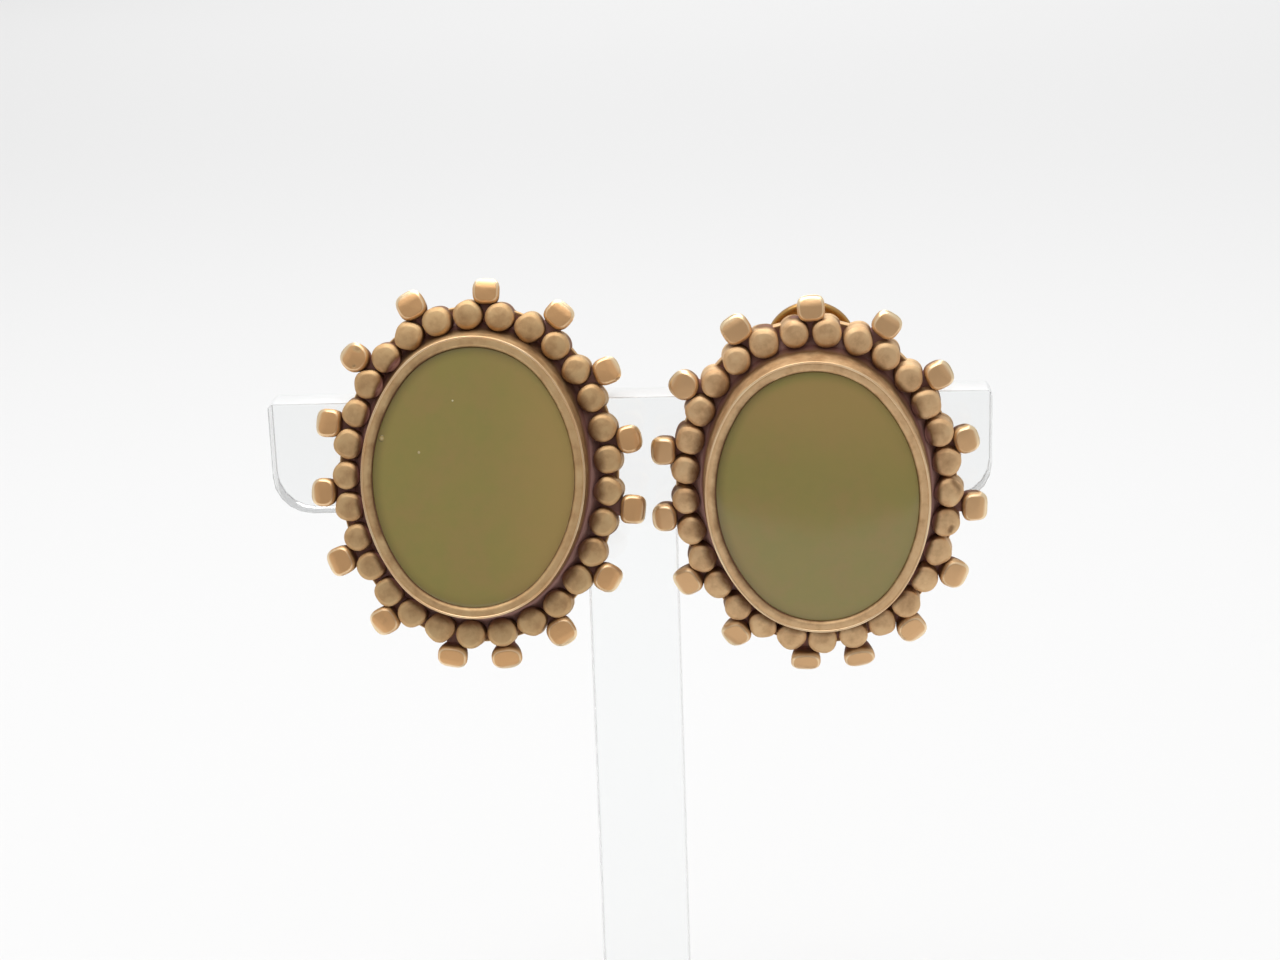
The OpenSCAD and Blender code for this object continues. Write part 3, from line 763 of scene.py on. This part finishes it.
# Low caps z = base + height cos(a), radius sin(a), on the stone's dome.
def flawShells(side):
    shells = []
    for (x, y), radius, height, wearAndShading in flaws:
        across = np.hypot(x / (oval["halfWidth"] - collar["rimWidth"]),
                          y / (oval["halfHeight"] - collar["rimWidth"]))
        base = stoneHeight(across) - 0.01
        a = np.radians([10, 40, 70, 90])[:, None]
        spokes = circle(24)
        r = radius * np.sin(a)
        cap = pointsOf(x + r * np.cos(spokes), y + r * np.sin(spokes), base + height * np.cos(a))
        foot = cap[-1:] * (1, 1, 0) + (0, 0, base - 0.1)
        values = np.array([*wearAndShading, wearAndShading[-1]])[:, None]
        shells.append(shell(hung(np.concatenate([cap, foot]), side), values))
    return shells


# The clip

# Lugs, pin, and the paddle that turns on it. offset is the clip's sideways place on the plate,
# and the pad is dished inside a raised rim.
clip = {
    "offset": 0.7, "pinDepth": 6.65, "pinRadius": 0.5, "clearance": 0.04, "gap": 0.1,
    "knuckleRadius": 1.0, "knuckleWidth": 3.0, "lugThickness": 0.8, "edge": 0.14,
    "padRadius": 4.3, "padReach": 18.1, "thickness": 0.9, "face": 0.25, "armWidth": 4.4,
    "dish": 0.22, "ringSpokes": 40, "padSpokes": 96, "armSpokes": 48, "barSpokes": 32,
    "pinSpokes": 32,
}

# Sections of a lug's bar: height over the plate's back, and width as a share of the lug's.
lugHeights = np.array([0.4, 0, -0.3, -0.8, -2, -4, -5.2, -5.75, -5.9])
lugSpreads = np.array([1.5, 1.4, 1.1, 1, 0.98, 0.96, 0.95, 0.9, 0.8])

# Places of the arm's sections, from the pin out to under the pad.
armPlaces = np.array([0.6, 0.75, 1.2, 2.4, 4, 8, 12, 14.5, 15.2, 15.4])


# Closed loop (x, radius) of a washer round the pin, rounded outside and bevelled inside.
def ringProfile(halfWidth):
    inner, outer, edge = clip["pinRadius"] + clip["clearance"], clip["knuckleRadius"], clip["edge"]
    return np.concatenate([
        arc(halfWidth - edge, outer - edge, edge, 0, 90, 4),
        arc(-halfWidth + edge, outer - edge, edge, 90, 180, 4),
        [(-halfWidth, inner + 0.05), (-halfWidth + 0.05, inner)],
        [(halfWidth - 0.05, inner), (halfWidth, inner + 0.05)],
    ])


# Two lugs: an eye turned about the pin, on a flat bar from the plate, section a rounded box.
def lugShells(side):
    c = clip
    drop = hanging[side]["pinDrop"]
    eye = ringProfile(c["lugThickness"] / 2)
    a = circle(c["barSpokes"])
    r = superellipse(a, (c["lugThickness"] / 2 * np.minimum(lugSpreads, 1.15))[:, None],
                     (c["knuckleRadius"] * 0.9 * lugSpreads)[:, None], 6.0)
    shells = []
    for way in (-1, 1):
        x = c["offset"] + way * (c["knuckleWidth"] / 2 + c["gap"] + c["lugThickness"] / 2)
        grid = tube(eye, c["ringSpokes"], (x, -drop, -c["pinDepth"]))
        shells.append(shell(hung(grid, side), 0.6, "loop"))
        grid = pointsOf(x + r * np.sin(a), -drop + r * np.cos(a), lugHeights[:, None])
        shells.append(shell(hung(grid, side), 0.55))
    return shells


# A rod with domed ends along x.
def pinShell(side):
    c = clip
    half = c["knuckleWidth"] / 2 + c["gap"] + c["lugThickness"] + 0.1
    r = c["pinRadius"]
    a = np.radians(np.linspace(88, 0, 7))
    domed = np.stack([half - 0.12 + 0.12 * np.sin(a), r * (0.25 + 0.75 * np.cos(a))], -1)
    profile = np.concatenate([domed, (domed * (-1, 1))[::-1]])
    middle = (c["offset"], -hanging[side]["pinDrop"], -c["pinDepth"])
    grid = tube(profile, c["pinSpokes"], middle)
    return shell(hung(grid, side), 0.8)


# Pad turned about its axis, arm of rounded boxes along y, knuckle round the pin, all leaned.
def paddleShells(side):
    c = clip
    h = hanging[side]
    lean = turned("x", h["clipLean"])
    pin = np.array([c["offset"], -h["pinDrop"], -c["pinDepth"]])
    low, high = c["face"] - c["thickness"], c["face"]
    r, dish = c["padRadius"], c["dish"]
    profile = np.concatenate([
        [(0.2, low), (1.5, low), (r - 0.6, low + 0.04)],
        arc(r - 0.3, low + 0.34, 0.3, -90, 0, 6),
        arc(r - 0.28, high - 0.28, 0.28, 0, 90, 6),
        [(r - 0.5, high - 0.02), (r - 0.8, high - 0.12), (r - 1.1, high - dish),
         (r - 1.6, high - dish - 0.02), (1.5, high - dish - 0.03), (0.2, high - dish - 0.03)],
    ])
    a = circle(c["padSpokes"])
    pad = pointsOf(profile[:, :1] * np.cos(a), c["padReach"] + profile[:, :1] * np.sin(a),
                   profile[:, 1:])
    width = np.interp(armPlaces, [2.4, c["padReach"] - c["padRadius"] / 2],
                      [c["knuckleWidth"], c["armWidth"]]) / 2
    flat = np.full(len(armPlaces), (high - dish - 0.06 - low) / 2)
    flat[[0, -1]] *= 0.5
    a = circle(c["armSpokes"])
    r = superellipse(a, width[:, None], flat[:, None], 8.0)
    arm = pointsOf(r * np.sin(a), armPlaces[:, None], low + flat.max() + r * np.cos(a))
    knuckle = tube(ringProfile(c["knuckleWidth"] / 2), c["ringSpokes"], (0, 0, 0))
    return [shell(hung(grid @ lean.T + pin, side), wearAndShading, ends) for grid, wearAndShading, ends in
            ((pad, 0.85, "pole"), (arm, 0.8, "pole"), (knuckle, 0.7, "loop"))]


for side in ("left", "right"):
    piece(side + "Collar", [collarShell(side)] + lugShells(side), gilt[side], "display",
          [side + "_setting"])
    for name, shells in (("SmallPegs", smallPegShells), ("LargePegs", largePegShells),
                         ("Necks", neckShells)):
        piece(side + name, [shells(side)], gilt[side], "display")
    marks = flawShells(side) if side == "left" else []
    piece(side + "Stone", [stoneShell(side)] + marks, jasper, "display",
          [side + "_stone"])
    piece(side + "Pin", [pinShell(side)], clipGilt, "display",
          [side + "_clip_pin"])
    piece(side + "Paddle", paddleShells(side), clipGilt, side + "_clip",
          [side + "_clip_pad"])
    print(side, "earring made")


# The stand

# Each row scaled to length 1.
def unit(rows):
    return rows / np.linalg.norm(rows, axis=1)[:, None]


# Parallel outline: each corner moves in by (n1 + n2) inset / (1 + n1.n2), with n1 and n2 the
# normals of its edges. Its radius changes by the inset, and an arc joins the edges, about
# corner + bisector r / cos(turn / 2).
def roundedOutline(corners, radii, inset):
    corners = np.array(corners, float)
    before, after = unit(corners - np.roll(corners, 1, 0)), unit(np.roll(corners, -1, 0) - corners)
    bend = np.sign(before[:, 0] * after[:, 1] - before[:, 1] * after[:, 0])
    cosTurn, along = (before * after).sum(1), before + after
    normals = np.stack([-along[:, 1], along[:, 0]], -1)
    moved = corners + normals * inset / (1 + cosTurn)[:, None]
    radius = np.array(radii, float) - bend * inset
    cosHalf, sinHalf = np.sqrt((1 + cosTurn) / 2), np.sqrt((1 - cosTurn) / 2)
    reach = radius * sinHalf / cosHalf
    centre = moved + unit(after - before) * (radius / cosHalf)[:, None]
    start, end = moved - before * reach[:, None], moved + after * reach[:, None]
    t = np.linspace(0, 1, stand["cornerSteps"])[None, :, None]
    sweep = np.arccos(np.clip(cosTurn, -1, 1))[:, None, None]
    arm = (np.sin((1 - t) * sweep) * (start - centre)[:, None]
           + np.sin(t * sweep) * (end - centre)[:, None]) / np.sin(sweep)
    return (centre[:, None] + arm).reshape(-1, 2)


# Outline carried through a thickness with rounded edges: (inset, depth) on quarter circles,
# with one more ring on each face so that it is shaded flat.
def slab(corners, radii, thickness):
    edge, steps = stand["edgeRadius"], stand["edgeSteps"]
    flat = edge + stand["flatRing"]
    profile = np.concatenate([[(flat, 0)], arc(edge, edge, edge, 270, 180, steps),
                              arc(edge, thickness - edge, edge, 180, 90, steps),
                              [(flat, thickness)]])
    loops = np.stack([roundedOutline(corners, radii, inset) for inset in profile[:, 0]])
    return pointsOf(loops[..., 0], loops[..., 1], profile[:, 1:])


# A T in the x-z plane and a rounded foot under it. The wear is 1 on both faces and 1 - cut
# sideCut on the rings between them, or 1 - cut in the satin strip.
def standShells():
    s = stand
    half, post, foot = s["barLength"] / 2, s["postWidth"] / 2, s["footThickness"]
    top, low = s["height"], s["height"] - s["barHeight"]
    base = foot + s["glueLine"]
    corners = [(-post, base), (post, base), (post, low), (half, low), (half, top), (-half, top),
               (-half, low), (-post, low)]
    radii = [s[k + "Corner"] for k in ("post", "post", "inner", "bar", "top", "top", "bar", "inner")]
    tee = slab(corners, radii, s["sheet"])
    tee = pointsOf(tee[..., 0], s["sheet"] / 2 - tee[..., 2], tee[..., 1])
    x, y, r = s["footWidth"] / 2, s["footDepth"] / 2, s["barCorner"]
    plate = slab([(-x, -y), (x, -y), (x, y), (-x, y)], [r] * 4, foot)
    steps = s["edgeSteps"]
    cut = np.concatenate([[0], np.full(steps + 1, s["sideShare"]), np.ones(steps - 1), [0]])
    cut = cut[:, None]
    polished = 1 - cut * np.where(tee[..., 2] > top - s["satinTop"], 1, s["sideCut"])
    return [shell(tee * mm, polished, "flat"), shell(plate * mm, 1 - s["sideCut"] * cut, "flat")]


piece("clearStand", standShells(), acrylic, "display", ["display_stand"])
print("stand made")


# Floor, light and camera. The room is bright all round except behind the camera, and the paper
# ends in front of the stand, so that the polished stones mirror a pale floor and a dim room.
# The paper's front and the camera are in mm, the floor's size in metres.
studio = {
    "paper": "#e2e2e2", "fibre": 2.0, "front": 232.0, "floorSize": 6.0, "floorGap": 0.05,
    "room": "#ffffff", "roomStrength": 0.7, "dimStrength": 0.34, "dimCone": (20.0, 42.0),
    "dimWide": 0.28, "lens": 67.5, "sensor": 36.0, "azimuth": 3.04, "pitch": 16.22,
    "roll": 1.92, "distance": 230.0, "target": (0.97, -1.75, 75.76),
}

# Softboxes: place, point they face and size in metres, and power in watts.
softboxes = {
    "topBox": ((-0.04, -0.02, 0.75), (0, 0, 0.07), 0.7, 3.6),
    "backBox": ((0.0, 1.5, 1.2), (0, 1.5, 0), 1.2, 9.0),
}


# A square area light turned so that its -Z points at the target.
def softbox(name, place, target, size, power):
    light = bpy.data.lights.new(name, "AREA")
    light.shape, light.size, light.energy = "SQUARE", size, power
    made = addObject(name, light)
    made.location = place
    away = Vector(place) - Vector(target)
    made.rotation_euler = away.to_track_quat("Z", "Y").to_euler()


def paperMaterial(name, look):
    # Matt white studio paper with a fibre of about 2 mm.
    made, tree, place = newMaterial(name)
    fibre = node(tree, "TexNoise", Vector=place, Scale=1 / (look["fibre"] * mm), Detail=2.0)
    bump = node(tree, "Bump", Height=fibre, Distance=0.01 * mm)
    shader = node(tree, "BsdfPrincipled", Base_Color=rgb(look["paper"]), Roughness=0.9,
                  Specular_IOR_Level=0.2, Normal=bump)
    node(tree, "OutputMaterial", Surface=shader)
    return made


# A flat sheet of paper just under the foot, from its front edge back to half its size.
def layFloor(look):
    half, front, low = look["floorSize"] / 2, -look["front"] * mm, -look["floorGap"] * mm
    corners = [(-half, front, low), (half, front, low), (half, half, low), (-half, half, low)]
    mesh = bpy.data.meshes.new("floor")
    mesh.from_pydata(corners, [], [(0, 1, 2, 3)])
    mesh.materials.append(paperMaterial("whiteStudioPaper", look))
    addObject("floor", mesh)


# Strength of the room's light by direction: dim in a cone round -Y, which is widened sideways by
# shrinking x first: d = (k x, y, z) / length, d . -Y = cos angle.
def lightRoom(look):
    world = bpy.data.worlds.new("studio")
    world.use_nodes = True
    tree = world.node_tree
    tree.nodes.clear()
    direction = node(tree, "TexCoord").outputs["Generated"]
    narrowed = node(tree, "VectorMath", {"operation": "MULTIPLY"}, _0=direction,
                    _1=(look["dimWide"], 1, 1))
    heading = node(tree, "VectorMath", {"operation": "NORMALIZE"}, _0=narrowed)
    front = node(tree, "VectorMath", {"operation": "DOT_PRODUCT"}, _0=heading, _1=(0, -1, 0))
    inner, outer = (math.cos(math.radians(a)) for a in look["dimCone"])
    strength = node(tree, "MapRange", {"interpolation_type": "SMOOTHSTEP"}, Value=front,
                    From_Min=outer, From_Max=inner, To_Min=look["roomStrength"],
                    To_Max=look["dimStrength"])
    light = node(tree, "Background", Color=rgb(look["room"]), Strength=strength)
    node(tree, "OutputWorld", Surface=light)
    bpy.context.scene.world = world


# Looks along f = (-sin a cos p, cos a cos p, -sin p) at the target from the distance, rolled.
def placeCamera(look):
    a, p, roll = (math.radians(look[k]) for k in ("azimuth", "pitch", "roll"))
    forward = np.array([-math.sin(a) * math.cos(p), math.cos(a) * math.cos(p), -math.sin(p)])
    right = np.array([math.cos(a), math.sin(a), 0])
    up = np.cross(right, forward)
    camera = bpy.data.cameras.new("camera")
    camera.lens, camera.sensor_width = look["lens"], look["sensor"]
    camera.clip_start = 0.01
    made = addObject("camera", camera)
    m = np.eye(4)
    m[:3, 0] = math.cos(roll) * right - math.sin(roll) * up
    m[:3, 1] = math.sin(roll) * right + math.cos(roll) * up
    m[:3, 2] = -forward
    m[:3, 3] = (np.array(look["target"]) - forward * look["distance"]) * mm
    made.matrix_world = Matrix(m.tolist())
    bpy.context.scene.camera = made


for name, row in softboxes.items():
    softbox(name, *row)
layFloor(studio)
lightRoom(studio)
placeCamera(studio)
bpy.context.scene.view_settings.view_transform = "Standard"
print("studio made")
